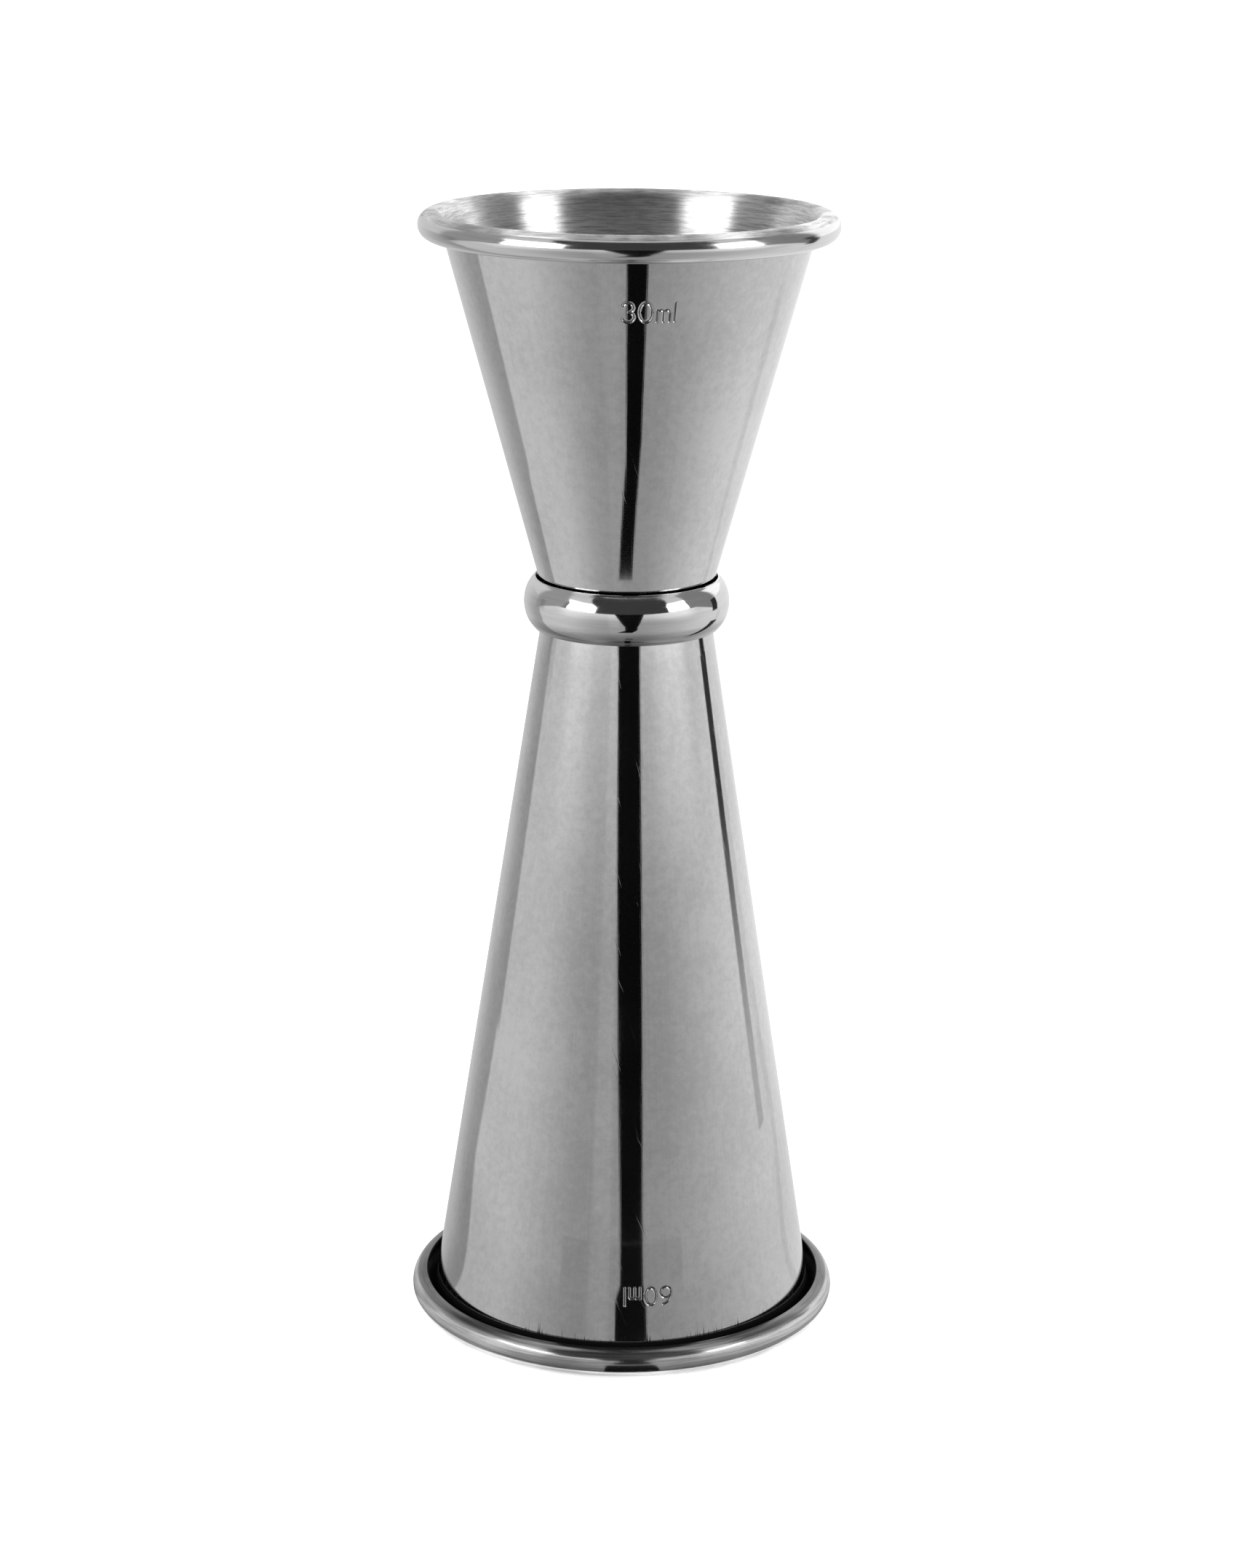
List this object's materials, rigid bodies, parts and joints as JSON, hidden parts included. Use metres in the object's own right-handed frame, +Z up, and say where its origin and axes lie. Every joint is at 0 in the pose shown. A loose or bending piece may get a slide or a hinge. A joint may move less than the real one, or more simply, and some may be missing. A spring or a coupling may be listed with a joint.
{
  "type": "bar jigger",
  "caption": "Double-ended spirit measure: a short and a long tapered steel cup joined base to base, with curled rims and a rounded collar round the waist.",
  "frame": {"origin": "centre of the circle that the large cup's rim stands on", "axes": "+Z up along the common axis of both cups; -Y is the side that carries the capacity marks"},
  "size_m": [0.0496, 0.0496, 0.128],
  "materials": {
    "cup_steel": "stainless steel sheet, mirror polished outside with a fine lengthwise polishing grain, and finely turned round the inside",
    "collar_steel": "mirror-polished stainless steel with faint turning lines",
    "braze_alloy": "dull cast filler metal, never seen"
  },
  "bodies": {
    "root": {"small_cup": "cup_steel", "large_cup": "cup_steel", "waist_collar": "collar_steel", "base_braze": "braze_alloy"}
  },
  "joints": []
}
